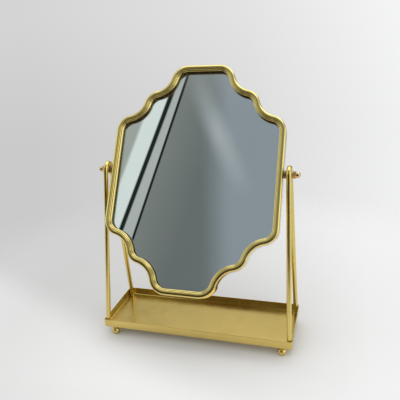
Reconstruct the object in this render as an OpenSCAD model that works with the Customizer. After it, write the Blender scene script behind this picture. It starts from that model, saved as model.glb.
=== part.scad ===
// Tabletop swivel mirror on a shallow tray with two bent-wire stands.
// Origin on the table under the middle of the tray, +X to the right, +Y to the back, +Z up.

/* [Tray] */
// Outside width of the tray
tray_w = 230; // [200:1:300]
// Outside depth of the tray
tray_d = 81; // [64:1:120]
// Outside height of the tray walls
tray_h = 10; // [7:0.5:30]
// Thickness of the tray sheet
sheet_t = 0.8; // [0.6:0.1:1.5]
// Outside radius of the tray's upright corners
corner_r = 2; // [1:0.5:4]

/* [Feet] */
// Diameter of the ball feet
ball_d = 10; // [8:0.5:16]
// Radius of the flat under each ball
foot_flat_r = 2; // [1:0.25:3]
// Length of the neck between ball and tray
neck_l = 1.8; // [0.6:0.2:4]
// Radius of the neck
neck_r = 2.4; // [1.5:0.1:3.5]
// Distance of the ball centres from the tray's ends
foot_inset_x = 12; // [8:1:30]
// Distance of the ball centres from the tray's front and back
foot_inset_y = 5.5; // [5.5:0.5:20]

/* [Wire stands] */
// Diameter of the stand wire
wire_d = 5.5; // [4:0.5:7]
// Height of the pivot axis above the table
pivot_h = 203; // [180:1:260]
// Gap between a leg and the tray walls beside it
leg_gap = 0.1; // [0.1:0.1:1]
// Radius of the bend over the pivot, to the middle of the wire
arch_r = 7.2; // [6:0.2:8]

/* [Mirror frame] */
// Width of the mirror frame
mirror_w = 199; // [185:1:204]
// Height of the mirror frame
mirror_h = 265; // [250:1:290]
// Depth of the frame from back edge to the crest of the roll
frame_t = 14; // [12:0.5:18]
// Lean of the mirror towards the back, at rest
lean = 31; // [0:1:60]
// Distance of the pivot above the middle of the frame
pivot_up = 6; // [0:0.5:8]
// Distance of the pivot in front of the frame's back edge
pivot_z = 8; // [6:0.5:8.5]
// Outside radius of the rounded ends of the top and bottom
end_r = 20; // [16:0.5:26]
// Outside radius of the other outward lobes
lobe_r = 19; // [14:0.5:20]
// Outside radius of the inward dips
dip_r = 22; // [15:0.5:24]
// Slope of the outline at the steep end of each lobe, in degrees
steep = 76; // [65:1:82]
// Slope of the outline at the shallow end of each lobe, in degrees
shallow = 13; // [5:1:20]

/* [Moulding] */
// Thickness of the frame's outer wall
wall_t = 1.2; // [0.8:0.1:1.6]
// Radius of the big outer roll
roll_r = 2.3; // [1.8:0.1:2.8]
// Radius of the middle bead
bead_r = 1; // [0.7:0.05:1.2]
// Radius of the bead beside the glass
lip_r = 0.85; // [0.6:0.05:1]
// Drop from the crest of the roll to the crest of the middle bead
bead_drop = 2; // [1:0.1:2.4]
// Drop from the crest of the roll to the crest of the inner bead
lip_drop = 3.6; // [3:0.1:4]
// Drop from the crest of the roll to the glass
glass_drop = 5.5; // [5:0.1:6]

/* [Glass and back] */
// Thickness of the mirror glass
glass_t = 3; // [2:0.5:3]
// Thickness of the backing board
board_t = 2.5; // [1.5:0.5:3]
// Width of the frame lip that covers the glass edge
lip_cover = 2.7; // [2:0.1:3]
// Thickness of the tabs that hold the board
tab_t = 0.6; // [0.4:0.1:1]
// Width of the tabs
tab_w = 8; // [5:0.5:12]
// Reach of the tabs over the board
tab_reach = 7; // [4:0.5:12]
// Distance of the side tabs above and below the middle of the frame
tab_pitch = 34; // [18:1:44]

/* [Pivots] */
// Diameter of the threaded pivot studs
stud_d = 4; // [3:0.5:4]
// Clearance round a stud in the frame and in the pieces on it
stud_fit = 0.05; // [0.02:0.01:0.1]
// Gap at each side of a stand's collar, so that the mirror can turn
turn_gap = 0.3; // [0.2:0.05:0.5]
// Gap between stud and collar
collar_gap = 0.25; // [0.2:0.05:0.5]
// Depth of the stud in the frame
stud_grip = 4.4; // [3:0.2:6]
// Diameter of the grey spacers
spacer_d = 8.4; // [7:0.2:10]
// Length of the grey spacers
spacer_l = 3.2; // [2:0.2:6]
// Diameter of the outer washers
washer_d = 9; // [8:0.5:12]
// Thickness of the outer washers
washer_t = 0.8; // [0.5:0.1:1.2]
// Width across the flats of the cap nuts
nut_af = 7; // [6:0.5:8]
// Height of the cap nuts
nut_h = 8; // [7:0.5:10]
// Height of the hexagonal part of the cap nuts
nut_hex_h = 3.2; // [2.5:0.1:4]

/* [Hidden] */
$fn = 64;

gold = "#c9b268";
grey = "#6f6b66";
steel = "#a9a9a5";
silver = "#9aa4ad";
brown = "#6b5138";

// How far a cutting shape reaches past what it cuts
over = 1;

ball_r = ball_d / 2;
wire_r = wire_d / 2;
stud_r = stud_d / 2;
// Height of a ball's centre, with its flat on the table
ball_z = sqrt(ball_r * ball_r - foot_flat_r * foot_flat_r);
tray_z = ball_z + ball_r + neck_l;
floor_z = tray_z + sheet_t;
// Least inside radius of the tray's corners
least_r = 0.3;

// Mirror frame: levels above its back edge, and widths inwards from its outline
glass_z = frame_t - glass_drop;
board_z = glass_z - glass_t - board_t;
roll_z = frame_t - roll_r;
bead_in = 2 * roll_r;
lip_in = bead_in + 2 * bead_r;
face_w = lip_in + 2 * lip_r;
glass_in = face_w - lip_cover;
// Steps of the half rounds of the section
ROLL_STEPS = 8;
BEAD_STEPS = 5;
// Block inside the frame's wall that takes a stud: metal round the bore and behind it
boss_wall = 2.6;
boss_floor = 0.6;
boss_w = 2 * (stud_r + boss_wall);
boss_in = stud_grip + boss_floor;

// Across the pivot: frame, spacer, arch with its collar, washer, nut
spacer_x = mirror_w / 2;
arch_x = spacer_x + spacer_l + turn_gap + wire_r;
washer_x = arch_x + wire_r + turn_gap;
nut_x = washer_x + washer_t;
// Cap nut: metal over the blind hole, air past the stud's end, and step from the flats to the dome
nut_top = 2;
end_gap = 0.5;
dome_step = 0.25;
nut_hole = nut_h - nut_top;
stud_end = nut_hole - end_gap;
dome_r = nut_af / 2 - dome_step;

// Stand: the arch bends round a collar that the stud turns in, the legs end in the tray's corners.
// The collar is sunk this deep into the wire.
collar_bite = 0.8;
collar_r = arch_r - wire_r + collar_bite;
leg_x = tray_w / 2 - sheet_t - leg_gap - wire_r;
leg_y = tray_d / 2 - sheet_t - leg_gap - wire_r;
stand_rise = pivot_h - floor_z;
stand_tilt = atan((leg_x - arch_x) / stand_rise);
stand_l = stand_rise / cos(stand_tilt);
// Angle of the legs from upright: the line from the base point touches the arch's circle
leg_tilt = acos(arch_r / norm([leg_y, stand_l])) - atan2(stand_l, leg_y);
leg_l = sqrt(leg_y * leg_y + stand_l * stand_l - arch_r * arch_r);
// The wire swells this little where the arch runs into a leg, and the two are one solid
swell = 0.05;

// Outline of the mirror: five arcs between a straight end and a straight side, in each quarter.
// Each arc is [outside radius, first slope, last slope]. The slope falls away from level to upright.
ARCS = [
    [end_r, 0, steep],
    [dip_r, steep, shallow],
    [lobe_r, shallow, steep],
    [dip_r, steep, shallow],
    [lobe_r, shallow, 90],
];
// An arc bends outwards where its slope grows
function turn(a) = a[2] > a[1] ? 1 : -1;
// Step from an arc's start to its end
function arc_step(a) = turn(a) * a[0] * [sin(a[2]) - sin(a[1]), cos(a[2]) - cos(a[1])];
function steps_to(n) = n == 0 ? [0, 0] : steps_to(n - 1) + arc_step(ARCS[n - 1]);
// Half lengths of the straight ends and sides that the arcs leave
end_flat = mirror_w / 2 - steps_to(len(ARCS))[0];
side_flat = mirror_h / 2 + steps_to(len(ARCS))[1];
function arc_start(n) = [end_flat, mirror_h / 2] + steps_to(n);
function arc_centre(n) = arc_start(n) - turn(ARCS[n]) * ARCS[n][0] * [sin(ARCS[n][1]), cos(ARCS[n][1])];
// Points of one arc after its start, with the outline moved inwards
ARC_STEPS = 6;
function arc_points(n, inset) = [
    for (i = [(n == 0 ? 0 : 1):ARC_STEPS])
        let (a = ARCS[n], slope = a[1] + (a[2] - a[1]) * i / ARC_STEPS)
        arc_centre(n) + (turn(a) * a[0] - inset) * [sin(slope), cos(slope)]
];
function quarter_points(inset) = [for (n = [0:len(ARCS) - 1]) each arc_points(n, inset)];
function reversed(p) = [for (i = [len(p) - 1:-1:0]) p[i]];
// The whole outline, clockwise from the right end of the top's straight
function outline_points(inset) =
    let (q = quarter_points(inset))
    concat(
        q,
        [for (p = reversed(q)) [p[0], -p[1]]],
        [for (p = q) [-p[0], -p[1]]],
        [for (p = reversed(q)) [-p[0], p[1]]]
    );

// Points of a half round from its outer side over the crest to its inner side
function half_round(x, z, r, steps) = [
    for (i = [0:steps])
        let (a = 180 - 180 * i / steps)
        [x + r * cos(a), z + r * sin(a)]
];

// Section of the frame: x inwards from the outline, y up from the back edge
SECTION = concat(
    [[0, 0]],
    half_round(roll_r, roll_z, roll_r, ROLL_STEPS),
    half_round(bead_in + bead_r, frame_t - bead_drop - bead_r, bead_r, BEAD_STEPS),
    half_round(lip_in + lip_r, frame_t - lip_drop - lip_r, lip_r, BEAD_STEPS),
    [[face_w, glass_z], [wall_t, glass_z], [wall_t, 0]]
);

// The section carried round the outline as one closed skin
module moulding_ring() {
    rings = [for (p = SECTION) [for (q = outline_points(p[0])) [q[0], q[1], p[1]]]];
    count = len(rings[0]);
    corners = len(SECTION);
    polyhedron(
        points = [for (ring = rings) each ring],
        faces = [
            for (j = [0:corners - 1], i = [0:count - 1])
                let (i2 = (i + 1) % count, j2 = (j + 1) % corners)
                [j * count + i, j * count + i2, j2 * count + i2, j2 * count + i]
        ]
    );
}

// Puts what is modelled flat on its back, with its middle at the origin, into its leaning place
module leaning() {
    translate([0, 0, pivot_h])
        rotate([90 - lean, 0, 0])
            translate([0, -pivot_up, -pivot_z])
                children();
}

// Bored round piece on the pivot axis of one side, from x outwards
module pivot_ring(side, x, length, outer_d) {
    translate([side * x, 0, pivot_h])
        rotate([0, side * 90, 0])
            difference() {
                cylinder(h = length, d = outer_d);
                translate([0, 0, -over]) cylinder(h = length + 2 * over, r = stud_r + stud_fit);
            }
}

module pivot_spacer(side) {
    color(grey) pivot_ring(side, spacer_x, spacer_l, spacer_d);
}

module pivot_washer(side) {
    color(gold) pivot_ring(side, washer_x, washer_t, washer_d);
}

module tray_outline(inset) {
    r = max(corner_r - inset, least_r);
    for (x = [-1, 1], y = [-1, 1])
        translate([x * (tray_w / 2 - inset - r), y * (tray_d / 2 - inset - r)]) circle(r);
    square([tray_w - 2 * inset, tray_d - 2 * (inset + r)], center = true);
    square([tray_w - 2 * (inset + r), tray_d - 2 * inset], center = true);
}

module tray() {
    color(gold)
        translate([0, 0, tray_z])
            difference() {
                linear_extrude(tray_h) tray_outline(0);
                translate([0, 0, sheet_t]) linear_extrude(tray_h) tray_outline(sheet_t);
            }
}

module foot(side, end) {
    color(gold)
        translate([side * (tray_w / 2 - foot_inset_x), end * (tray_d / 2 - foot_inset_y), 0]) {
            difference() {
                translate([0, 0, ball_z]) sphere(ball_r);
                translate([-ball_r, -ball_r, -ball_d]) cube([ball_d, ball_d, ball_d]);
            }
            translate([0, 0, ball_z]) cylinder(h = tray_z - ball_z, r = neck_r);
        }
}

module stand(side) {
    color(gold)
        difference() {
            translate([side * arch_x, 0, pivot_h])
                rotate([0, -side * stand_tilt, 0])
                    rotate([90, 0, 90]) {
                        rotate([0, 0, leg_tilt])
                            rotate_extrude(angle = 180 - 2 * leg_tilt)
                                translate([arch_r, 0]) circle(wire_r);
                        for (end = [-1, 1])
                            mirror([end < 0 ? 1 : 0, 0, 0])
                                rotate([0, 0, leg_tilt])
                                    translate([arch_r, 0, 0]) {
                                        rotate([90, 0, 0]) cylinder(h = leg_l + wire_d, r = wire_r);
                                        sphere(wire_r + swell);
                                    }
                        translate([0, 0, -wire_r]) cylinder(h = wire_d, r = collar_r);
                    }
            translate([side * arch_x, 0, pivot_h])
                rotate([0, 90, 0])
                    cylinder(h = 2 * wire_d, r = stud_r + collar_gap, center = true);
            translate([-tray_w, -tray_d, floor_z - 2 * tray_h])
                cube([2 * tray_w, 2 * tray_d, 2 * tray_h]);
        }
}

// Solid block inside the frame's wall that takes a stud, rooted in the wall and the moulding
module boss(side) {
    root = wall_t / 2;
    mirror([side < 0 ? 1 : 0, 0, 0])
        translate([mirror_w / 2 - boss_in, pivot_up - boss_w / 2, pivot_z - boss_w / 2])
            cube([boss_in - root, boss_w, glass_z + root - pivot_z + boss_w / 2]);
}

module moulding() {
    color(gold)
        leaning()
            difference() {
                union() {
                    moulding_ring();
                    boss(-1);
                    boss(1);
                }
                for (side = [-1, 1])
                    translate([side * (mirror_w / 2 - stud_grip), pivot_up, pivot_z])
                        rotate([0, side * 90, 0])
                            cylinder(h = stud_grip + over, r = stud_r + stud_fit);
            }
}

module glass() {
    color(silver)
        leaning()
            translate([0, 0, glass_z - glass_t])
                linear_extrude(glass_t) polygon(outline_points(glass_in));
}

module backing_board() {
    color(brown)
        leaning()
            translate([0, 0, board_z])
                linear_extrude(board_t) polygon(outline_points(glass_in));
}

// Bent tab: one wing lies on the frame's wall, the other on the board
module tab(x, y, turned) {
    color(steel)
        leaning()
            translate([x, y, 0])
                rotate([0, 0, turned]) {
                    translate([-tab_w / 2, -wall_t - tab_reach, board_z - tab_t])
                        cube([tab_w, tab_reach, tab_t]);
                    translate([-tab_w / 2, -wall_t - tab_t, tab_t])
                        cube([tab_w, tab_t, board_z - tab_t]);
                }
}

module stud(side) {
    color(steel)
        translate([side * (mirror_w / 2 - stud_grip), 0, pivot_h])
            rotate([0, side * 90, 0])
                cylinder(h = nut_x + stud_end - mirror_w / 2 + stud_grip, r = stud_r);
}

// Cap nut: hexagon, then a neck and a dome; the blind hole takes the stud's end
module cap_nut(side) {
    color(gold)
        translate([side * nut_x, 0, pivot_h])
            rotate([0, side * 90, 0])
                difference() {
                    union() {
                        cylinder(h = nut_hex_h, d = nut_af / cos(30), $fn = 6);
                        cylinder(h = nut_h - dome_r, r = dome_r);
                        translate([0, 0, nut_h - dome_r]) sphere(dome_r);
                    }
                    translate([0, 0, -over]) cylinder(h = nut_hole + over, r = stud_r + stud_fit);
                }
}

tray();
foot(-1, -1);  // foot_front_left
foot(1, -1);  // foot_front_right
foot(-1, 1);  // foot_back_left
foot(1, 1);  // foot_back_right
stand(-1);  // stand_left
stand(1);  // stand_right
moulding();
glass();
backing_board();
tab(0, mirror_h / 2, 0);  // tab_top
tab(0, -mirror_h / 2, 180);  // tab_bottom
tab(-mirror_w / 2, tab_pitch, 90);  // tab_left_upper
tab(-mirror_w / 2, -tab_pitch, 90);  // tab_left_lower
tab(mirror_w / 2, tab_pitch, -90);  // tab_right_upper
tab(mirror_w / 2, -tab_pitch, -90);  // tab_right_lower
stud(-1);  // stud_left
stud(1);  // stud_right
pivot_spacer(-1);  // spacer_left
pivot_spacer(1);  // spacer_right
pivot_washer(-1);  // washer_left
pivot_washer(1);  // washer_right
cap_nut(-1);  // cap_nut_left
cap_nut(1);  // cap_nut_right
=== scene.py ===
"""Looks of a tabletop swivel mirror: scalloped gold frame, bent-wire stands, shallow tray on ball feet."""

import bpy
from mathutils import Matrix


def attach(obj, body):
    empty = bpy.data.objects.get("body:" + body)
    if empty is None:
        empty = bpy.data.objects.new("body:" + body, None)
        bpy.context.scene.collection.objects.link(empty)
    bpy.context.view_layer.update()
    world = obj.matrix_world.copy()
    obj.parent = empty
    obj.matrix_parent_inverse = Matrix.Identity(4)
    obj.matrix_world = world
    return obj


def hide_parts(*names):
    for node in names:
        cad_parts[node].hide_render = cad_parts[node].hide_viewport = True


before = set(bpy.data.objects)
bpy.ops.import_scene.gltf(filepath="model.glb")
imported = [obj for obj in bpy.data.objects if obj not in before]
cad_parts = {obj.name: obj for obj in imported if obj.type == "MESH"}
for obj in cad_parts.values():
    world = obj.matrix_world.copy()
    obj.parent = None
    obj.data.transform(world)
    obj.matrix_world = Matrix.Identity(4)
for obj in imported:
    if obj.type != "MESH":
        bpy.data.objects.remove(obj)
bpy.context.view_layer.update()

import math

import bpy
import numpy as np
from mathutils import Matrix, Vector

# Sizes in millimetres and angles in degrees. They are those of the part's source, apart from the section of
# the frame, which is narrower and flatter here.
MM = 0.001

# Tray and ball feet
TRAY_W, TRAY_D, TRAY_H, SHEET_T, CORNER_R = 230.0, 81.0, 10.0, 0.8, 2.0
OUTER_FOLD_R, INNER_FOLD_R, SHEET_SAG = 1.3, 1.1, 0.12
BALL_R, FLAT_R, NECK_L, NECK_R, NECK_FILLET = 5.0, 2.0, 1.8, 2.4, 0.6
FOOT_X, FOOT_Y = TRAY_W / 2 - 12.0, TRAY_D / 2 - 5.5
BALL_Z = math.sqrt(BALL_R**2 - FLAT_R**2)
TRAY_Z = BALL_Z + BALL_R + NECK_L
FLOOR_Z = TRAY_Z + SHEET_T

# Mirror: PIVOT_H is above the table, PIVOT_UP above the mirror's middle and PIVOT_Z in front of its back
PIVOT_H, PIVOT_UP, PIVOT_Z, LEAN = 203.0, 6.0, 8.0, 31.0
MIRROR_W, MIRROR_H, FRAME_T, WALL_T = 199.0, 265.0, 14.0, 1.2
# Radius, first slope and last slope of the arcs in a quarter of the outline
ARCS = [(20.0, 0, 76), (22.0, 76, 13), (19.0, 13, 76), (22.0, 76, 13), (19.0, 13, 90)]
FACE_W, BACK_EDGE_R, SHOULDER_R, ROLL_R, TURN_R, BEAD_R = 7.1, 0.35, 2.2, 4.2, 0.4, 1.23
ROLL_OUT, ROLL_IN, TURN_IN, BEAD_OUT, BEAD_IN = 25, 15, 75, 10, 65
BEAD_DROPS, GLASS_DROP = (0.85, 1.95), 5.5
GLASS_T, BOARD_T, GLASS_IN, GLASS_BEVEL, GLASS_GAP = 3.0, 2.5, 5.6, 0.3, 0.03
GLASS_Z = FRAME_T - GLASS_DROP
BOARD_Z = GLASS_Z - GLASS_T - BOARD_T
TAB_T, TAB_W, TAB_REACH, TAB_BEND_R, TAB_CUT, TAB_PITCH = 0.6, 8.0, 7.0, 0.9, 0.15, 34.0

# Pivots
STUD_R, STUD_GRIP, BORE_R, TURN_GAP = 2.0, 4.4, 2.05, 0.3
THREAD_PITCH, THREAD_DEPTH, THREAD_PLAY = 0.7, 0.35, 0.02
SPACER_R, SPACER_L, SPACER_EDGE_R = 4.2, 3.2, 0.45
WASHER_R, WASHER_T, WASHER_EDGE_R = 4.5, 0.8, 0.25
NUT_AF, NUT_H, NUT_HEX_H, NUT_DOME_T = 7.0, 8.0, 3.2, 2.5

# Stands
WIRE_R, ARCH_R, LEG_GAP, LEG_SUNK = 2.75, 7.2, 0.1, 0.1
COLLAR_GAP, COLLAR_SUNK, COLLAR_EDGE_R = 0.25, 0.8, 0.3

# Places along the pivot axis, from the middle outwards
STUD_X = MIRROR_W / 2 - STUD_GRIP
SPACER_X = MIRROR_W / 2
ARCH_X = SPACER_X + SPACER_L + TURN_GAP + WIRE_R
WASHER_X = ARCH_X + WIRE_R + TURN_GAP
NUT_X = WASHER_X + WASHER_T

# Feet of the legs, and the leg seen in its stand's own plane
LEG_X = TRAY_W / 2 - SHEET_T - LEG_GAP - WIRE_R
LEG_Y = TRAY_D / 2 - SHEET_T - LEG_GAP - WIRE_R
STAND_TILT = math.atan((LEG_X - ARCH_X) / (PIVOT_H - FLOOR_Z))
STAND_L = (PIVOT_H - FLOOR_Z) / math.cos(STAND_TILT)
LEG_TILT = math.acos(ARCH_R / math.hypot(LEG_Y, STAND_L)) - math.atan2(STAND_L, LEG_Y)
LEG_L = math.sqrt(LEG_Y**2 + STAND_L**2 - ARCH_R**2)

SIDES = {"left": -1, "right": 1}
ENDS = {"front": -1, "back": 1}


# ---------- meshes ----------

def shell(grid, close_rows=False, cap_first=False, cap_last=False, cap_across=False):
    """Points and arrays of faces for a grid of closed rings: each cell is one face.

    A cap is a fan to a ring's middle, or with cap_across, strips that join the points of a symmetrical ring
    with their mirror images, counted back from its end. The faces are turned outwards: the sum over the
    faces of (a x b) . c is made positive.
    """
    rows, columns = grid.shape[:2]
    points = grid.reshape(-1, 3)
    index = np.arange(rows * columns).reshape(rows, columns)
    down = np.roll(index, -1, 0) if close_rows else index[1:]
    here = index if close_rows else index[:-1]
    faces = [np.stack([here, down, np.roll(down, -1, 1), np.roll(here, -1, 1)], -1).reshape(-1, 4)]
    for wanted, ring, turn in ((cap_first, index[0], 1), (cap_last, index[-1], -1)):
        if wanted and cap_across:
            near, far = ring[:columns // 2], ring[::-1][:columns // 2]
            faces.append(np.stack([near[:-1], near[1:], far[1:], far[:-1]], -1)[:, ::turn])
        elif wanted:
            middle = len(points)
            points = np.vstack([points, points[ring].mean(0)])
            faces.append(np.stack([ring, np.roll(ring, -1), np.full(columns, middle)], -1)[:, ::turn])
    volume = sum(
        np.einsum("ij,ij->", np.cross(points[group[:, 0]], points[group[:, k]]), points[group[:, k + 1]])
        for group in faces for k in range(1, group.shape[1] - 1)
    )
    return points, [group[:, ::-1] for group in faces] if volume < 0 else faces


def capped(grid):
    """Shell of a rod, plate or block: both end rings are capped."""
    return shell(grid, cap_first=True, cap_last=True)


def looped(grid):
    """Shell of a ring: the last row joins the first."""
    return shell(grid, close_rows=True)


def mesh_of(name, shells):
    """Mesh in metres of several shells in millimetres."""
    points, faces, start = [], [], 0
    for shell_points, groups in shells:
        points.append(shell_points)
        for group in groups:
            faces += (group + start).tolist()
        start += len(shell_points)
    mesh = bpy.data.meshes.new(name)
    mesh.from_pydata((np.vstack(points) * MM).tolist(), [], faces)
    return mesh


def in_scene(name, data):
    """New object, linked to the scene."""
    made = bpy.data.objects.new(name, data)
    bpy.context.scene.collection.objects.link(made)
    return made


def piece(name, shells, body, finish, replaces=(), crisp=32):
    """One object from several shells. Edges sharper than crisp degrees stay crisp."""
    mesh = mesh_of(name, shells)
    mesh.polygons.foreach_set("use_smooth", np.ones(len(mesh.polygons), bool))
    mesh.set_sharp_from_angle(angle=math.radians(crisp))
    mesh.materials.append(finish)
    made = in_scene(name, mesh)
    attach(made, body)
    if replaces:
        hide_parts(*replaces)
    return made


def moved(points, turn=None, shift=(0, 0, 0)):
    """Points turned by a 3 x 3 matrix, then shifted."""
    return (points if turn is None else points @ np.array(turn).T) + np.array(shift)


def turn_about(axis, angle):
    """Matrix of a turn by an angle in radians about X, Y or Z, counted as 0, 1 or 2."""
    first, second = (axis + 1) % 3, (axis + 2) % 3
    turn = np.eye(3)
    turn[first, first] = turn[second, second] = math.cos(angle)
    turn[first, second], turn[second, first] = -math.sin(angle), math.sin(angle)
    return turn


def laid(grid, side=1):
    """Grid modelled round +Z, laid down along the X axis so that it points to one side."""
    return moved(grid, [[0, 0, side], [0, 1, 0], [-side, 0, 0]])


def full_turn(steps):
    """Angles spaced evenly round a circle."""
    return np.linspace(0, 2 * math.pi, steps, endpoint=False)


def round_z(radius, height, around):
    """Grid round +Z: radius x cos and radius x sin of the angle, and the height."""
    return np.stack([radius * np.cos(around), radius * np.sin(around), height + 0 * around], -1)


def lathe(profile, steps=64):
    """Grid of a profile of (radius, height) turned round +Z."""
    radius, height = np.array(profile, float).T[:, :, None]
    return round_z(radius, height, full_turn(steps))


def arc(cx, cy, radius, first, last, steps):
    """Points of an arc round (cx, cy) from one angle to another, in degrees."""
    angles = np.radians(np.linspace(first, last, steps + 1))
    return np.column_stack([cx + radius * np.cos(angles), cy + radius * np.sin(angles)])


def arc_point(cx, cy, radius, angle):
    """One point of a circle."""
    return arc(cx, cy, radius, angle, angle, 0)[0]


def carried(section, outline):
    """Grid of a section of (inset, height) points carried round an outline.

    The outline is a function that gives its points for an inset.
    """
    rings = [outline(inset) for inset, _ in section]
    return np.stack([np.column_stack([ring, np.full(len(ring), height)])
                     for ring, (_, height) in zip(rings, section)])


def swept(path, way, across, thick):
    """Grid of a section swept along a path in the YZ plane.

    The section's first measure runs along X, and its second square to the way along the path.
    """
    out = np.column_stack([way[:, 1], -way[:, 0]])
    return np.stack([across + 0 * path[:, :1], path[:, :1] + out[:, :1] * thick,
                     path[:, 1:] + out[:, 1:] * thick], -1)


def rounded_block(low, high, radius):
    """Grid of a block with rounded edges: a direction times the edge radius, plus the corner it points to."""
    off_axis = 0.02
    quarter = np.linspace(off_axis, math.pi / 2 - off_axis, 6)
    around = np.concatenate([quarter + k * math.pi / 2 for k in range(4)])
    up = np.concatenate([-quarter[::-1], quarter])[:, None]
    way = round_z(np.cos(up), np.sin(up), around)
    low, high = np.array(low, float), np.array(high, float)
    return (low + high) / 2 + way * radius + np.sign(way) * ((high - low) / 2 - radius)


# ---------- finishes ----------

class Nodes:
    """Adds shader nodes to one node tree. An input is a plain value or the output of another node."""

    def __init__(self, tree):
        self.tree = tree

    def fill(self, node, inputs):
        """Link or set each named input of a node."""
        for key, value in inputs.items():
            if isinstance(value, bpy.types.NodeSocket):
                self.tree.links.new(value, node.inputs[key])
            else:
                node.inputs[key].default_value = value

    def add(self, kind, inputs=None, **settings):
        node = self.tree.nodes.new(kind)
        for key, value in settings.items():
            setattr(node, key, value)
        self.fill(node, inputs or {})
        return node

    def place(self, scale=(1, 1, 1), turn=(0, 0, 0)):
        """Place on the object, in metres from its origin, stretched and turned."""
        spot = self.add("ShaderNodeTexCoord").outputs["Object"]
        return self.add("ShaderNodeMapping", {"Vector": spot, "Scale": scale, "Rotation": turn}).outputs[0]

    def noise(self, place, scale, detail, roughness=0.5):
        return self.add("ShaderNodeTexNoise", {"Vector": place, "Scale": scale, "Detail": detail,
                                               "Roughness": roughness}).outputs["Fac"]

    def span(self, value, low, high, to_low=0.0, to_high=1.0, smooth=False):
        """Carry low..high to to_low..to_high and hold the ends."""
        return self.add("ShaderNodeMapRange", {0: value, 1: low, 2: high, 3: to_low, 4: to_high},
                        interpolation_type="SMOOTHSTEP" if smooth else "LINEAR").outputs[0]

    def spread(self, noise, to_low=0.0, to_high=1.0):
        """Spread noise, which mostly lies between 0.3 and 0.7, over another span."""
        return self.span(noise, 0.3, 0.7, to_low, to_high)

    def mix(self, amount, first, second):
        """Blend of two colours, each an output or a tone of red, green and blue."""
        first, second = ((*tone, 1) if isinstance(tone, tuple) else tone for tone in (first, second))
        return self.add("ShaderNodeMix", {0: amount, 6: first, 7: second}, data_type="RGBA").outputs[2]

    def math(self, way, first, second=0.0):
        return self.add("ShaderNodeMath", {0: first, 1: second}, operation=way).outputs[0]

    def vector(self, way, first, second=(0, 0, 0), output="Vector"):
        return self.add("ShaderNodeVectorMath", {0: first, 1: second}, operation=way).outputs[output]

    def dot(self, first, second):
        return self.vector("DOT_PRODUCT", first, second, "Value")

    def bump(self, height, strength, distance):
        return self.add("ShaderNodeBump", {"Height": height, "Strength": strength,
                                           "Distance": distance}).outputs[0]


def new_finish(name):
    """New material, its nodes and its main shader."""
    material = bpy.data.materials.new(name)
    material.use_nodes = True
    return material, Nodes(material.node_tree), material.node_tree.nodes["Principled BSDF"]


def metal(name, light, dark, rough, grain=900.0, grain_depth=0.000002, streak=(1, 1, 1), coat=0.0):
    """Plated metal: two tones in soft clouds, and a fine grain.

    The roughness drifts between two values and carries fine scratches.
    """
    material, nodes, shader = new_finish(name)
    place, streaked = nodes.place(), nodes.place(scale=streak)
    clouds = nodes.noise(place, scale=35.0, detail=4.0, roughness=0.6)
    drift = nodes.spread(nodes.noise(place, scale=60.0, detail=2.0), *rough)
    scratches = nodes.noise(streaked, scale=420.0, detail=5.0, roughness=0.7)
    fine_grain = nodes.noise(streaked, scale=grain, detail=3.0, roughness=0.6)
    nodes.fill(shader, {
        "Base Color": nodes.mix(nodes.spread(clouds), light, dark),
        "Roughness": nodes.math("ADD", drift, nodes.span(scratches, 0.55, 0.75, 0.0, 0.04)),
        "Normal": nodes.bump(fine_grain, strength=1.0, distance=grain_depth),
        "Metallic": 1.0, "Coat Weight": coat, "Coat Roughness": 0.05, "Coat IOR": 1.6,
    })
    return material


def silver_finish():
    """Silvering behind the glass: bright, with the faintest clouds."""
    material, nodes, shader = new_finish("silver_backing")
    clouds = nodes.noise(nodes.place(), scale=18.0, detail=3.0, roughness=0.6)
    nodes.fill(shader, {
        "Base Color": nodes.mix(nodes.spread(clouds), (0.93, 0.94, 0.935), (0.90, 0.915, 0.91)),
        "Metallic": 1.0, "Roughness": 0.0,
    })
    return material


def glass_finish():
    """Clear float glass, faintly green, with wiping marks that only just blur it."""
    material, nodes, shader = new_finish("clear_glass")
    wiped = nodes.place(scale=(1.0, 1.0, 0.25), turn=(0, 0.5, 0))
    wipes = nodes.noise(wiped, scale=28.0, detail=5.0, roughness=0.7)
    nodes.fill(shader, {
        "Base Color": nodes.mix(nodes.span(wipes, 0.4, 0.8), (0.97, 0.985, 0.98), (0.95, 0.97, 0.965)),
        "Roughness": nodes.span(wipes, 0.6, 0.8, 0.0, 0.02),
        "Transmission Weight": 1.0, "IOR": 1.5,
    })
    return material


def board_finish():
    """Hardboard: pressed fibres in two browns with dark flecks, and a fine uneven surface."""
    material, nodes, shader = new_finish("brown_hardboard")
    fibres = nodes.noise(nodes.place(scale=(1.0, 2.2, 2.2)), scale=240.0, detail=8.0, roughness=0.75)
    flecks = nodes.noise(nodes.place(), scale=700.0, detail=2.0)
    browns = nodes.mix(nodes.spread(fibres), (0.13, 0.07, 0.035), (0.21, 0.125, 0.065))
    nodes.fill(shader, {
        "Base Color": nodes.mix(nodes.span(flecks, 0.62, 0.72, 0.0, 0.6), browns, (0.05, 0.028, 0.015)),
        "Roughness": nodes.span(fibres, 0.2, 0.8, 0.55, 0.8),
        "Normal": nodes.bump(fibres, strength=0.6, distance=0.0001),
    })
    return material


def spacer_finish():
    """Dark bronzed spacer: fine rings of turning marks round the pivot axis."""
    material, nodes, shader = new_finish("dark_bronze_spacer")
    rings = nodes.noise(nodes.place(scale=(2600.0, 40.0, 40.0)), scale=1.0, detail=3.0, roughness=0.6)
    nodes.fill(shader, {
        "Base Color": nodes.mix(rings, (0.17, 0.125, 0.05), (0.27, 0.205, 0.095)),
        "Roughness": nodes.spread(rings, 0.3, 0.4),
        "Normal": nodes.bump(rings, strength=0.5, distance=0.00001),
        "Metallic": 0.75,
    })
    return material


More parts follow.
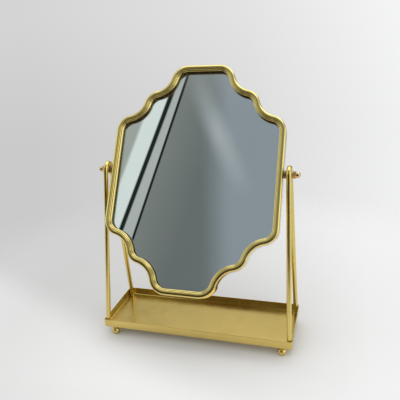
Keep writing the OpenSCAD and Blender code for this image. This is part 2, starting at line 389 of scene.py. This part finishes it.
GOLD, DEEP_GOLD = (0.73, 0.58, 0.175), (0.70, 0.545, 0.15)
frame_gold = metal("frame_gold", GOLD, DEEP_GOLD, (0.10, 0.13), grain=700.0, grain_depth=0.0000006, coat=0.7)
tray_gold = metal("tray_gold", (0.70, 0.535, 0.18), (0.67, 0.50, 0.15), (0.22, 0.26),
                  grain=1300.0, grain_depth=0.0000016)
wire_gold = metal("wire_gold", GOLD, DEEP_GOLD, (0.20, 0.26), grain_depth=0.000001, coat=0.35)
foot_gold = metal("foot_gold", GOLD, DEEP_GOLD, (0.16, 0.21))
nut_gold = metal("nut_gold", (0.72, 0.50, 0.24), (0.66, 0.43, 0.19), (0.12, 0.17), grain=1100.0, coat=0.3)
weld_gold = metal("weld_gold", (0.62, 0.46, 0.17), (0.42, 0.29, 0.10), (0.28, 0.42),
                  grain=1500.0, grain_depth=0.00003)
plain_steel = metal("plain_steel", (0.56, 0.55, 0.53), (0.47, 0.46, 0.44), (0.26, 0.36),
                    grain_depth=0.000008, streak=(1, 8, 8))
silver_backing, clear_glass = silver_finish(), glass_finish()
hardboard, dark_bronze = board_finish(), spacer_finish()


# ---------- mirror ----------

def scallops(inset):
    """Mirror outline moved inwards, as n x 2 points in the mirror's own plane.

    A quarter is five arcs. A point of an arc is its centre plus (sin slope, cos slope) times its radius,
    with the inset taken off the radius of an outward arc and added to that of an inward one.
    The other three quarters mirror the first.
    """
    slopes = [np.radians(np.linspace(first, last, 15)) for _, first, last in ARCS]
    spins = [np.column_stack([np.sin(slope), np.cos(slope)]) for slope in slopes]
    radii = [radius if last > first else -radius for radius, first, last in ARCS]
    reach = sum(radius * (spin[-1] - spin[0]) for radius, spin in zip(radii, spins))
    at, runs = np.array([MIRROR_W / 2 - reach[0], MIRROR_H / 2]), []
    for radius, spin in zip(radii, spins):
        centre = at - radius * spin[0]
        runs.append((centre + (radius - inset) * spin)[1 if runs else 0:])
        at = centre + radius * spin[-1]
    quarter = np.vstack(runs)
    return np.vstack([quarter, quarter[-2::-1] * (1, -1), -quarter, quarter[-2::-1] * (-1, 1)])


def leaning(points):
    """Points modelled flat on the mirror's back, put at the pivot and tipped to the resting lean."""
    at_pivot = moved(points, shift=(0, -PIVOT_UP, -PIVOT_Z))
    return moved(at_pivot, turn_about(0, math.radians(90 - LEAN)), (0, 0, PIVOT_H))


def frame_section():
    """Section of the frame: side wall, broad roll, two stepped beads down to the glass, and the hollow back.

    The roll is a tight arc at the shoulder, then a flatter one from 25 degrees outwards to 15 degrees
    inwards, and a last tight arc that turns down. Each bead is an arc that leans 10 degrees outwards at its
    groove and 65 degrees inwards at its lower edge.
    """
    roll_z = FRAME_T - ROLL_R
    flatter = ROLL_R - SHOULDER_R
    roll_x = SHOULDER_R + flatter * math.sin(math.radians(ROLL_OUT))
    shoulder_z = roll_z + flatter * math.cos(math.radians(ROLL_OUT))
    turn_at = arc_point(roll_x, roll_z, ROLL_R - TURN_R, 90 - ROLL_IN)
    bead_out, bead_in = (BEAD_R * math.sin(math.radians(tip)) for tip in (BEAD_OUT, BEAD_IN))
    bead_x = FACE_W - bead_in
    beads = [arc(x, FRAME_T - drop - BEAD_R, BEAD_R, 90 + BEAD_OUT, 90 - BEAD_IN, 12)
             for x, drop in zip((bead_x - bead_out - bead_in, bead_x), BEAD_DROPS)]
    lip_cut, lip_edge = 0.15, 0.02
    return np.vstack([
        arc(BACK_EDGE_R, BACK_EDGE_R, BACK_EDGE_R, 270, 180, 4),
        arc(SHOULDER_R, shoulder_z, SHOULDER_R, 180, 90 + ROLL_OUT, 12),
        arc(roll_x, roll_z, ROLL_R, 90 + ROLL_OUT, 90 - ROLL_IN, 12)[1:],
        arc(*turn_at, TURN_R, 90 - ROLL_IN, 90 - TURN_IN, 6)[1:],
        *beads,
        [[FACE_W, GLASS_Z + lip_edge], [FACE_W - lip_cut, GLASS_Z]],
        [[WALL_T, GLASS_Z], [WALL_T, BACK_EDGE_R]],
        arc(WALL_T - BACK_EDGE_R, BACK_EDGE_R, BACK_EDGE_R, 0, -90, 4),
    ])


def glass_section():
    """Section of the glass plate's rim: a bevel ground off both edges. The caps are its two faces."""
    back, front = GLASS_Z - GLASS_T, GLASS_Z
    return [[GLASS_IN + GLASS_BEVEL, back + GLASS_GAP], [GLASS_IN, back + GLASS_BEVEL],
            [GLASS_IN, front - GLASS_BEVEL], [GLASS_IN + GLASS_BEVEL, front - GLASS_GAP]]


def boss(side):
    """Rounded block behind the moulding that takes a stud."""
    round_stud, past_stud, into_lip, edge = 2.6, 0.6, 0.3, 0.5
    half = STUD_R + round_stud
    x = sorted([side * (STUD_X - past_stud), side * (MIRROR_W / 2 - WALL_T / 2)])
    low = (x[0], PIVOT_UP - half, PIVOT_Z - half)
    return rounded_block(low, (x[1], PIVOT_UP + half, GLASS_Z + into_lip), edge)


def tab(x, y, turn):
    """Bent tab: a strip with cut corners, swept along an L. One wing is on the wall, one on the board."""
    half = TAB_T / 2
    wall, level = -WALL_T - half, BOARD_Z - half
    path = np.vstack([
        [[wall, TAB_T]],
        arc(wall - TAB_BEND_R, level - TAB_BEND_R, TAB_BEND_R, 0, 90, 8),
        [[-WALL_T - TAB_REACH, level]],
    ])
    way = np.gradient(path, axis=0)
    way /= np.linalg.norm(way, axis=1)[:, None]
    quarter = np.array([[TAB_W / 2 - TAB_CUT, half], [TAB_W / 2, half / 2]])
    ring = np.vstack([quarter, quarter[::-1] * (1, -1), -quarter, quarter[::-1] * (-1, 1)])
    return leaning(moved(swept(path, way, *ring.T), turn_about(2, math.radians(turn)), (x, y, 0)))


moulding = looped(leaning(carried(frame_section(), scallops)))
bosses = [capped(leaning(boss(side))) for side in SIDES.values()]
piece("scalloped_frame", [moulding, *bosses], "mirror", frame_gold, ["moulding"], crisp=40)

plate = shell(leaning(carried(glass_section(), scallops)), cap_first=True, cap_last=True, cap_across=True)
mirror_plate = piece("mirror_plate", [plate], "mirror", clear_glass, ["glass"], crisp=20)
mirror_plate.data.materials.append(silver_backing)
# The faces of the plate that look backwards are silvered
back_way = leaning(np.array([[0, 0, -1.0]]))[0] - leaning(np.zeros((1, 3)))[0]
ways = np.zeros(3 * len(mirror_plate.data.polygons))
mirror_plate.data.polygons.foreach_get("normal", ways)
silvered = (ways.reshape(-1, 3) @ back_way > 0.99).astype(np.int32)
mirror_plate.data.polygons.foreach_set("material_index", silvered)

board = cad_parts["backing_board"].data
board.materials.clear()
board.materials.append(hardboard)

# Place and turn of each tab
tabs = {"top": (0, MIRROR_H / 2, 0), "bottom": (0, -MIRROR_H / 2, 180)}
for label, side in SIDES.items():
    for height, up in (("upper", 1), ("lower", -1)):
        tabs[f"{label}_{height}"] = (side * MIRROR_W / 2, up * TAB_PITCH, -90 * side)
for label, place in tabs.items():
    piece(f"bent_tab_{label}", [capped(tab(*place))], "mirror", plain_steel, [f"tab_{label}"])


# ---------- pivots ----------

def on_axis(grid, side, x):
    """Grid modelled round +Z from height 0, laid on the pivot axis of one side from x outwards."""
    return moved(laid(grid, side), shift=(side * x, 0, PIVOT_H))


def bored_profile(inner, outer, length, edge, steps=5):
    """Closed profile of a bored round piece with rounded outer edges."""
    return np.vstack([
        [[inner, 0]], arc(outer - edge, edge, edge, -90, 0, steps),
        arc(outer - edge, length - edge, edge, 0, 90, steps), [[inner, length]],
    ])


def cap_nut_grid():
    """Cap nut: the lesser of a hexagon and two chamfer cones, then a neck and a dome.

    Hexagon: radius = half width across flats / cos(angle from the nearest flat's middle).
    Chamfer: the radius grows with the distance from either end of the hexagon.
    """
    half, chamfer, cone_slope, dome_step, neck_step = NUT_AF / 2, 0.12, 1.7, 0.25, 0.15
    dome, neck = half - dome_step, half - dome_step - neck_step
    around = full_turn(120)
    hexagon = half / np.cos(np.mod(around + math.pi / 6, math.pi / 3) - math.pi / 6)
    by_end, inside = 0.5, 0.6
    levels = np.concatenate([np.linspace(0, by_end, 7), np.linspace(inside, NUT_HEX_H - inside, 6),
                             np.linspace(NUT_HEX_H - by_end, NUT_HEX_H, 7)])[:, None]
    from_end = np.minimum(levels, NUT_HEX_H - levels)
    body = np.minimum(hexagon, half - chamfer + cone_slope * from_end)
    neck_low, neck_high, dome_low = NUT_HEX_H + np.array([0.02, 0.25, 0.45])
    top = np.vstack([[[neck, neck_low], [neck, neck_high], [dome, dome_low]],
                     arc(0, NUT_H - dome, dome, 0, 89, 16)])
    radius = np.vstack([body, top[:, :1] + 0 * around])
    return round_z(radius, np.vstack([levels, top[:, 1:]]), around)


def thread_grid(length):
    """Threaded rod: the radius falls and rises once a pitch, and the wave climbs one pitch a turn.

    Both ends are turned down over a short length.
    """
    turned_l, turned_depth, rows_a_pitch = 0.6, 0.4, 6
    around = full_turn(32)
    height = np.linspace(0, length, int(length / THREAD_PITCH * rows_a_pitch))[:, None]
    wave = np.abs(np.mod(height / THREAD_PITCH - around / (2 * math.pi), 1.0) * 2 - 1)
    full = np.clip(np.minimum(height, length - height) / turned_l, 0, 1)
    radius = STUD_R - THREAD_PLAY - THREAD_DEPTH * wave * full - turned_depth * (1 - full)
    return round_z(radius, height, around)


spacer = lathe(bored_profile(BORE_R, SPACER_R, SPACER_L, SPACER_EDGE_R))
washer = lathe(bored_profile(BORE_R, WASHER_R, WASHER_T, WASHER_EDGE_R))
rod = thread_grid(NUT_X + NUT_H - NUT_DOME_T - STUD_X)
for label, side in SIDES.items():
    piece(f"turned_spacer_{label}", [looped(on_axis(spacer, side, SPACER_X))], "mirror",
          dark_bronze, [f"spacer_{label}"])
    piece(f"pressed_washer_{label}", [looped(on_axis(washer, side, WASHER_X))], "mirror",
          nut_gold, [f"washer_{label}"])
    piece(f"domed_nut_{label}", [capped(on_axis(cap_nut_grid(), side, NUT_X))], "mirror",
          nut_gold, [f"cap_nut_{label}"], crisp=25)
    piece(f"threaded_stud_{label}", [capped(on_axis(rod, side, STUD_X))], "mirror",
          plain_steel, [f"stud_{label}"])


# ---------- stands ----------

def on_stand(grid, side):
    """Grid modelled round the middle of the arch, tilted to the stand's own plane and put at its pivot."""
    return moved(grid, turn_about(1, -side * STAND_TILT), (side * ARCH_X, 0, PIVOT_H))


def wire_grid(side):
    """Wire of one stand: a circle carried up one leg, round the arch over the stud and down the other.

    In the stand's own plane the arch is an arc round the pivot, and each leg leaves it along its tangent.
    """
    tilt_cos, tilt_sin = math.cos(LEG_TILT), math.sin(LEG_TILT)
    bend = np.linspace(LEG_TILT, math.pi - LEG_TILT, 41)
    drop = np.linspace(LEG_L + LEG_SUNK, 0, 30, endpoint=False)
    leg = np.column_stack([ARCH_R * tilt_cos + drop * tilt_sin, ARCH_R * tilt_sin - drop * tilt_cos])
    path = np.vstack([leg, ARCH_R * np.column_stack([np.cos(bend), np.sin(bend)]), leg[::-1] * (-1, 1)])
    way = np.vstack([np.tile([-tilt_sin, tilt_cos], (len(leg), 1)),
                     np.column_stack([-np.sin(bend), np.cos(bend)]),
                     np.tile([-tilt_sin, -tilt_cos], (len(leg), 1))])
    around = full_turn(32)
    return on_stand(swept(path, way, WIRE_R * np.sin(around), WIRE_R * np.cos(around)), side)


def weld_grid(side, end):
    """Weld bead round a leg's base: it spreads away from the tray's corner, with a lumpy edge.

    Spread = least + most x (half + half cos of the angle from inwards) to the power 1.5, times 1 plus two
    small sine waves. The bead falls off with (1 - rise) to the power 1.8 and follows the leg's lean.
    """
    least, most, sunk, tall, tucked_in = 0.12, 1.25, 0.15, 0.5, 0.25
    around = full_turn(48)
    inwards = math.atan2(-end, -side)
    spread = least + most * (0.5 + 0.5 * np.cos(around - inwards)) ** 1.5
    spread = spread * (1 + 0.14 * np.sin(3 * around + side) + 0.08 * np.sin(7 * around + 2 * end))
    rise = np.linspace(0, 1, 9)[:, None]
    radius = WIRE_R + spread * (1 - rise) ** 1.8 - tucked_in * (rise == 1)
    height = FLOOR_Z - sunk + rise * (tall + spread)
    grid = round_z(radius, height, around)
    grid[..., 0] += side * LEG_X
    grid[..., 1] += end * (LEG_Y - math.tan(LEG_TILT) * (height - FLOOR_Z))
    return grid


def collar_grid(side):
    """Short turned sleeve in the bend of a stand, square to the stand's own plane."""
    side_gap = 0.02
    half, inner, outer = WIRE_R - side_gap, STUD_R + COLLAR_GAP, ARCH_R - WIRE_R + COLLAR_SUNK
    profile = bored_profile(inner, outer, 2 * half, COLLAR_EDGE_R, steps=4)
    return on_stand(laid(lathe(profile - (0, half), 48)), side)


for label, side in SIDES.items():
    piece(f"pivot_collar_{label}", [looped(collar_grid(side))], "stand", wire_gold)
    piece(f"bent_wire_{label}", [capped(wire_grid(side))], "stand",
          wire_gold, [f"stand_{label}"])
    for end_label, end in ENDS.items():
        piece(f"leg_weld_{end_label}_{label}", [capped(weld_grid(side, end))], "stand",
              weld_gold)


# ---------- tray and feet ----------

def rounded_rectangle(inset):
    """Tray outline moved inwards: four corner arcs with points spaced along the sides between them."""
    least_radius, corner_steps = 0.25, 8
    radius = max(CORNER_R - inset, least_radius)
    half = np.array([TRAY_W / 2 - inset - radius, TRAY_D / 2 - inset - radius])
    corners = [half * way for way in ((1, 1), (-1, 1), (-1, -1), (1, -1))]
    runs = []
    for k, steps in enumerate((40, 14, 40, 14)):
        end = 90 * k + 90
        bent = arc(*corners[k], radius, 90 * k, end, corner_steps)
        to_next = arc_point(*corners[(k + 1) % 4], radius, end)
        runs += [bent, bent[-1] + (to_next - bent[-1]) * np.linspace(0, 1, steps + 1)[1:-1, None]]
    return np.vstack(runs)


def tray_grid():
    """Folded tray: the outline carried through a section from the underside, over the rim, to the floor.

    The folds are arcs. The sheet of the floor sags by up to 0.12 mm in its middle, as cos x cos over its
    length and depth.
    """
    rim, fold_at = SHEET_T / 2, SHEET_T + INNER_FOLD_R
    insets = np.array([34.0, 26.0, 18.0, 11.0, 6.0, 3.0])
    section = np.vstack([
        np.column_stack([insets, 0 * insets]),
        arc(OUTER_FOLD_R, OUTER_FOLD_R, OUTER_FOLD_R, 270, 180, 8),
        arc(rim, TRAY_H - rim, rim, 180, 0, 8),
        arc(fold_at, fold_at, INNER_FOLD_R, 180, 270, 8),
        np.column_stack([insets[::-1], SHEET_T + 0 * insets]),
    ])
    grid = carried(section, rounded_rectangle)
    sheet = grid[..., 2] < SHEET_T + 0.01
    sag = np.cos(math.pi * grid[..., 0] / TRAY_W) * np.cos(math.pi * grid[..., 1] / TRAY_D)
    grid[..., 2] += TRAY_Z - SHEET_SAG * sag * sheet
    return grid


def foot_grid(side, end):
    """Ball foot: a flat under a ball, then a neck with a fillet up to the tray."""
    above_ball, into_tray = 0.3, 0.05
    flat = math.degrees(math.asin(BALL_Z / BALL_R))
    neck = math.degrees(math.acos(NECK_R / BALL_R))
    profile = np.vstack([
        arc(0, BALL_Z, BALL_R, -flat, neck, 40),
        [[NECK_R, BALL_Z + math.sqrt(BALL_R**2 - NECK_R**2) + above_ball]],
        arc(NECK_R + NECK_FILLET, TRAY_Z + into_tray - NECK_FILLET, NECK_FILLET, 180, 90, 6),
    ])
    return moved(lathe(profile, 56), shift=(side * FOOT_X, end * FOOT_Y, 0))


piece("folded_tray", [capped(tray_grid())], "stand", tray_gold, ["tray"], crisp=50)
for label, side in SIDES.items():
    for end_label, end in ENDS.items():
        piece(f"ball_foot_{end_label}_{label}", [capped(foot_grid(side, end))], "stand",
              foot_gold, [f"foot_{end_label}_{label}"])


# ---------- stage, in metres ----------

def floor_finish():
    """Pale seamless floor, greyer at the left and behind a slanting line under the tray as painted shade, and
    brighter round the object as a painted pool of light.

    It fades into the pale studio some way from the object.
    """
    material, nodes, shader = new_finish("pale_floor")
    place = nodes.add("ShaderNodeTexCoord").outputs["Object"]
    x = nodes.add("ShaderNodeSeparateXYZ", {0: place}).outputs[0]
    away = nodes.vector("LENGTH", place, output="Value")
    # Painted shade: each tone greys towards the left
    right = nodes.span(x, -0.25, 0.20)
    behind = nodes.span(nodes.dot(place, (0.476, 1.0, 0)), -0.14, -0.06, smooth=True)
    # Painted pool of light: the floor is brighter near the object than further out
    pool_of_light_tone = nodes.mix(right, (0.845, 0.85, 0.845), (0.93, 0.93, 0.93))
    far_tone = nodes.mix(right, (0.76, 0.765, 0.76), (0.81, 0.81, 0.81))
    # Behind the slanting line: painted shade, greyest at the left
    back_tone = nodes.mix(right, (0.64, 0.645, 0.64), (0.89, 0.895, 0.895))
    front_tone = nodes.mix(nodes.span(away, 0.12, 0.26, smooth=True), pool_of_light_tone, far_tone)
    nodes.fill(shader, {
        "Base Color": nodes.mix(behind, front_tone, back_tone),
        "Alpha": nodes.span(away, 0.32, 0.58, 1.0, 0.0, smooth=True),
        "Roughness": 0.7, "Specular IOR Level": 0.1,
    })
    return material


def studio_floor():
    """Round floor: a flat disc, as rings of points round its middle."""
    radius = np.linspace(620.0, 20.0, 13)[:, None]
    mesh = mesh_of("floor", [shell(round_z(radius, 0 * radius, full_turn(64)), cap_last=True)])
    mesh.materials.append(floor_finish())
    made = in_scene("floor", mesh)


def front_panels(nodes, way, z):
    """Front of the studio high up, where the mirror looks.

    A broad panel turns from grey to blue. To its left are a paler board, a strip light and a grey wall, with
    dark gaps between them.

    An edge is a plane through the studio's middle. The distance of a direction from it is the dot product
    with the plane's normal, and is below zero on the left. Each layer covers those before it.
    """
    blueness = nodes.span(nodes.dot(way, (0.9619, -0.1576, 0.2236)), -0.015, 0.06, smooth=True)
    panels = nodes.mix(blueness, (0.145, 0.165, 0.165), (0.265, 0.31, 0.34))
    from_glow = nodes.math("ABSOLUTE", nodes.dot(way, (0.8837, 0.1698, 0.4361)))
    glow = nodes.math("MULTIPLY", nodes.span(from_glow, 0.0, 0.034, 0.65, 0.0, smooth=True),
                      nodes.span(z, 0.66, 0.74))
    board_edge = nodes.dot(way, (0.8906, -0.4532, 0.0384))
    light_edge = nodes.dot(way, (0.8723, -0.488, 0.03))

    def left_of(edge, low, high):
        return nodes.span(edge, low, high, 1.0, 0.0)

    def gap(edge, half, blur):
        return nodes.span(nodes.math("ABSOLUTE", edge), half, half + blur, 1.0, 0.0)

    for amount, tone in (
        (glow, (0.46, 0.50, 0.52)),  # pale band high on the panel
        (left_of(board_edge, 0.0, 0.09), (0.20, 0.225, 0.215)),  # the panel fades towards the board
        (left_of(board_edge, -0.002, 0.002), (0.43, 0.47, 0.45)),  # board
        (gap(board_edge, 0.0015, 0.002), (0.012, 0.014, 0.014)),
        (left_of(light_edge, -0.002, 0.002), (0.70, 0.77, 0.74)),  # strip light
        (gap(light_edge, 0.003, 0.003), (0.014, 0.02, 0.018)),
        (left_of(light_edge, -0.038, -0.032), (0.36, 0.39, 0.365)),  # wall
    ):
        panels = nodes.mix(amount, panels, tone)
    return panels


def surroundings(nodes, way):
    """What reflections show of the studio.

    The sides are pale with a bright patch on each, the back and the ceiling are greyer, a light hangs
    overhead, and the front is dark with panels high up.
    """
    x, y, z = nodes.add("ShaderNodeSeparateXYZ", {0: way}).outputs
    level = nodes.vector("NORMALIZE", nodes.vector("MULTIPLY", way, (1, 1, 0)))

    def towards(direction, low, high, of=way):
        return nodes.span(nodes.dot(of, direction), low, high, smooth=True)

    dark = nodes.mix(nodes.span(z, -0.1, 0.1), (0.046, 0.042, 0.036), (0.060, 0.036, 0.013))
    front = nodes.mix(nodes.span(z, 0.38, 0.50, smooth=True), dark, front_panels(nodes, way, z))

    aside = nodes.math("ABSOLUTE", nodes.math("ADD", x, 0.08))
    back_edges = nodes.mix(nodes.span(x, 0.0, 0.15), (0.37, 0.375, 0.37), (0.20, 0.20, 0.195))
    back = nodes.mix(nodes.span(aside, 0.05, 0.42, smooth=True), (0.58, 0.585, 0.59), back_edges)

    sides, right_patch, left_patch = (0.78, 0.785, 0.79), (1.55, 1.55, 1.55), (1.0, 1.0, 1.0)
    ceiling = (0.42, 0.43, 0.43)
    shown = nodes.mix(towards((0, 0.94, 0.34), 0.70, 0.90), sides, back)
    shown = nodes.mix(towards((0.93, -0.25, 0.28), 0.88, 0.95), shown, right_patch)
    shown = nodes.mix(towards((-0.89, -0.22, 0.39), 0.90, 0.96), shown, left_patch)
    shown = nodes.mix(towards((-0.12, -0.993, 0), 0.58, 0.79, of=level), shown, front)
    shown = nodes.mix(nodes.span(z, 0.76, 0.92, smooth=True), shown, ceiling)

    # The light overhead reaches from its front edge backwards, and to both sides equally
    above = nodes.math("MULTIPLY", nodes.span(nodes.math("DIVIDE", y, z), -0.25, -0.12),
                       nodes.span(z, 0.62, 0.66))
    between = nodes.span(nodes.math("ABSOLUTE", x), 0.50, 0.56, 1.0, 0.0)
    light_tone = nodes.mix(nodes.span(x, 0.0, 0.3), (1.45, 1.45, 1.45), (2.2, 2.2, 2.2))
    return nodes.mix(nodes.math("MULTIPLY", above, between), shown, light_tone)


def backdrop(nodes, way):
    """What the camera sees behind the object: grey at the left, pale at the right, paler still low down."""
    x, _, z = nodes.add("ShaderNodeSeparateXYZ", {0: way}).outputs
    # Painted shade: the backdrop greys towards the left
    tone = nodes.mix(nodes.span(x, -0.57, -0.19), (0.585, 0.59, 0.585), (0.70, 0.705, 0.70))
    tone = nodes.mix(nodes.span(x, -0.19, 0.10), tone, (0.865, 0.87, 0.87))
    return nodes.mix(nodes.span(z, -0.20, 0.03, 0.0, 0.07), tone, (1.6, 1.6, 1.6))


def studio_world():
    """Plain studio all round, by the kind of ray.

    Matt surfaces get an even soft light that is stronger from above, reflections show the surroundings, and
    the camera sees a pale backdrop.
    """
    world = bpy.data.worlds.new("studio")
    world.use_nodes = True
    world.node_tree.nodes.clear()
    nodes = Nodes(world.node_tree)
    way = nodes.add("ShaderNodeTexCoord").outputs["Generated"]
    rays = nodes.add("ShaderNodeLightPath").outputs
    upwards = nodes.span(nodes.dot(way, (0, -0.35, 0.94)), -0.1, 0.95, smooth=True)
    soft = nodes.mix(upwards, (0.50, 0.50, 0.50), (1.10, 1.10, 1.10))
    reflected = nodes.math("MAXIMUM", rays["Is Glossy Ray"], rays["Is Transmission Ray"])
    colour = nodes.mix(reflected, soft, surroundings(nodes, way))
    colour = nodes.mix(rays["Is Camera Ray"], colour, backdrop(nodes, way))
    light = nodes.add("ShaderNodeBackground", {"Color": colour, "Strength": 1.0})
    nodes.add("ShaderNodeOutputWorld", {"Surface": light.outputs[0]})
    bpy.context.scene.world = world


def softbox(name, place, aim, size, power):
    """Square soft lamp turned towards a point."""
    lamp = bpy.data.lights.new(name, "AREA")
    lamp.shape, lamp.size, lamp.size_y, lamp.energy = "RECTANGLE", size, size, power
    made = in_scene(name, lamp)
    made.location = place
    made.rotation_euler = (Vector(aim) - Vector(place)).to_track_quat("-Z", "Y").to_euler()


def camera():
    """Camera at the photograph's angle: it looks at a point above the tray, and is rolled a little."""
    azimuth, elevation, roll = map(math.radians, (17.028, 19.541, -3.104))
    aim, distance, lens, sensor = Vector((0.00494, 0, 0.16957)), 0.55844, 44.028, 36.0
    back = Vector((math.sin(azimuth) * math.cos(elevation), -math.cos(azimuth) * math.cos(elevation),
                   math.sin(elevation)))
    level = (-back).cross(Vector((0, 0, 1))).normalized()
    upright = level.cross(-back)
    right = math.cos(roll) * level + math.sin(roll) * upright
    turn = Matrix((right, back.cross(right), back)).transposed().to_4x4()
    data = bpy.data.cameras.new("camera")
    data.lens, data.sensor_width = lens, sensor
    data.clip_start, data.clip_end = 0.01, 50.0
    made = in_scene("camera", data)
    made.matrix_world = Matrix.Translation(aim + back * distance) @ turn
    bpy.context.scene.camera = made


studio_floor()
studio_world()
softbox("overhead", place=(0.0, 0.50, 1.25), aim=(0.0, 0.50, 0.0), size=1.6, power=2.5)
camera()
bpy.context.scene.view_settings.view_transform = "Standard"
